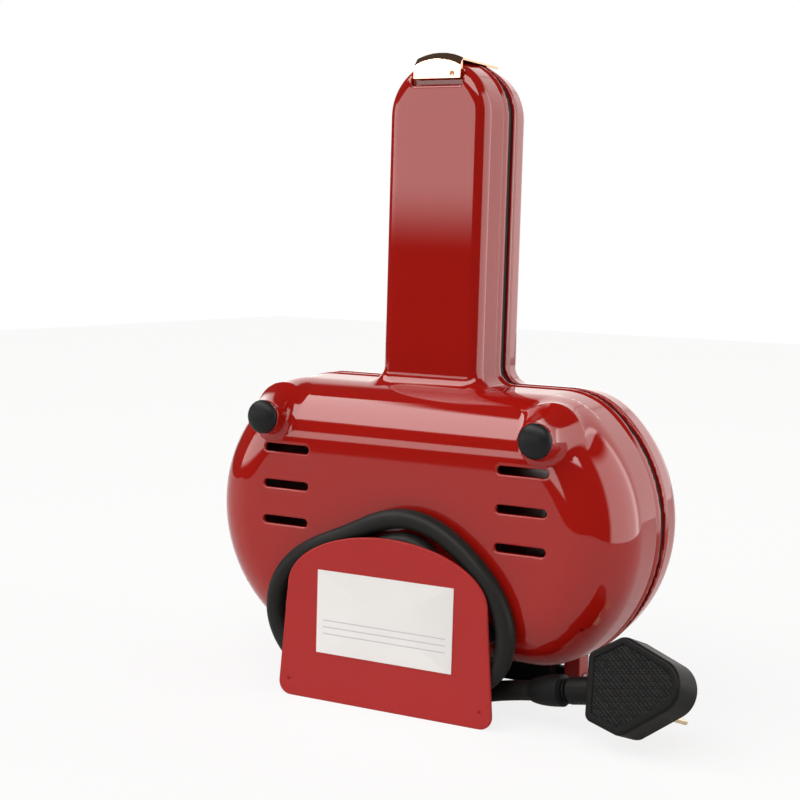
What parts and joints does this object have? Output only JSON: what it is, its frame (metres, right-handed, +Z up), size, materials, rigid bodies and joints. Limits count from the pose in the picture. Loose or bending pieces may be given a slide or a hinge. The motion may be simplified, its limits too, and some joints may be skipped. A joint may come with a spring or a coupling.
{
  "type": "mini sandwich maker",
  "caption": "Compact sandwich maker with a hinged lid, pocketed cooking plates, a latched handle and a mains cord wound behind a wrap plate.",
  "frame": {"origin": "centre of the bottom of the body's box, with the cord and plug left out, as it stands on its hinge end", "axes": "+Z up along the handle away from the hinge, +Y towards the lid, +X to the right seen from the feet's side"},
  "size_m": [0.1997, 0.0864, 0.2372],
  "materials": {
    "red_gloss": "glossy moulded deep red",
    "red_satin": "satin moulded red",
    "black_plastic": "fine satin",
    "black_rubber": "matt moulded",
    "black_cord": "smooth satin sheath",
    "rose_gold": "polished, rose gold tint",
    "nonstick": "dark non-stick coat",
    "heater_steel": "oxidised sheath",
    "reflector_metal": "bright sheet",
    "bright_steel": "zinc plated",
    "white_paper": "plain printed film, left bare",
    "cream_nylon": "natural",
    "wire_cover": "smooth",
    "lens_red": "clear tinted",
    "lens_green": "clear tinted",
    "pin_brass": "nickel flashed"
  },
  "bodies": {
    "base": {"lower_shell": "red_gloss", "cord_wrap_post": "red_satin", "cord_wrap_plate": "red_satin", "lower_frame": "black_plastic", "hinge_bracket": "black_plastic", "thermostat": "black_plastic", "cord_clamp": "black_plastic", "rubber_foot_left": "black_rubber", "rubber_foot_right": "black_rubber", "cord_gland": "black_rubber", "plug_strain_relief": "black_rubber", "plug_body": "black_rubber", "cord_winding": "black_cord", "cord_lead": "black_cord", "lower_cooking_plate": "nonstick", "lower_heating_element": "heater_steel", "lower_reflector": "reflector_metal", "lower_frame_screw_1": "bright_steel", "lower_frame_screw_2": "bright_steel", "foot_screw_left": "bright_steel", "foot_screw_right": "bright_steel", "wrap_plate_screw_left": "bright_steel", "wrap_plate_screw_right": "bright_steel", "bracket_screw_left": "bright_steel", "bracket_screw_right": "bright_steel", "hinge_pin_left": "bright_steel", "hinge_pin_right": "bright_steel", "rating_label": "white_paper", "thermal_fuse": "cream_nylon", "terminal_block": "cream_nylon", "lead_sleeve": "cream_nylon", "live_lead": "wire_cover", "neutral_lead": "wire_cover", "plug_pin_earth": "pin_brass", "plug_pin_left": "pin_brass", "plug_pin_right": "pin_brass"},
    "lid": {"upper_shell": "red_gloss", "upper_frame": "black_plastic", "upper_frame_screw_1": "bright_steel", "upper_frame_screw_2": "bright_steel", "upper_cooking_plate": "nonstick", "lid_plate_screw_upper_left": "bright_steel", "lid_plate_screw_upper_right": "bright_steel", "lid_plate_screw_lower_left": "bright_steel", "lid_plate_screw_lower_right": "bright_steel", "upper_heating_element": "heater_steel", "upper_reflector": "reflector_metal", "power_lens": "lens_red", "ready_lens": "lens_green", "lamp_holder": "cream_nylon", "latch_pin": "bright_steel"},
    "latch": {"latch_clip": "rose_gold"}
  },
  "joints": [
    {"name": "lid_hinge", "type": "hinge", "parent": "base", "child": "lid", "pos_m": [0, 0.0244, 0.0044], "axis": [-1, 0, 0], "range_deg": [0, 105]},
    {"name": "latch_pivot", "type": "hinge", "parent": "lid", "child": "latch", "pos_m": [0, 0.0184, 0.2285], "axis": [-1, 0, 0], "range_deg": [0, 95]}
  ]
}
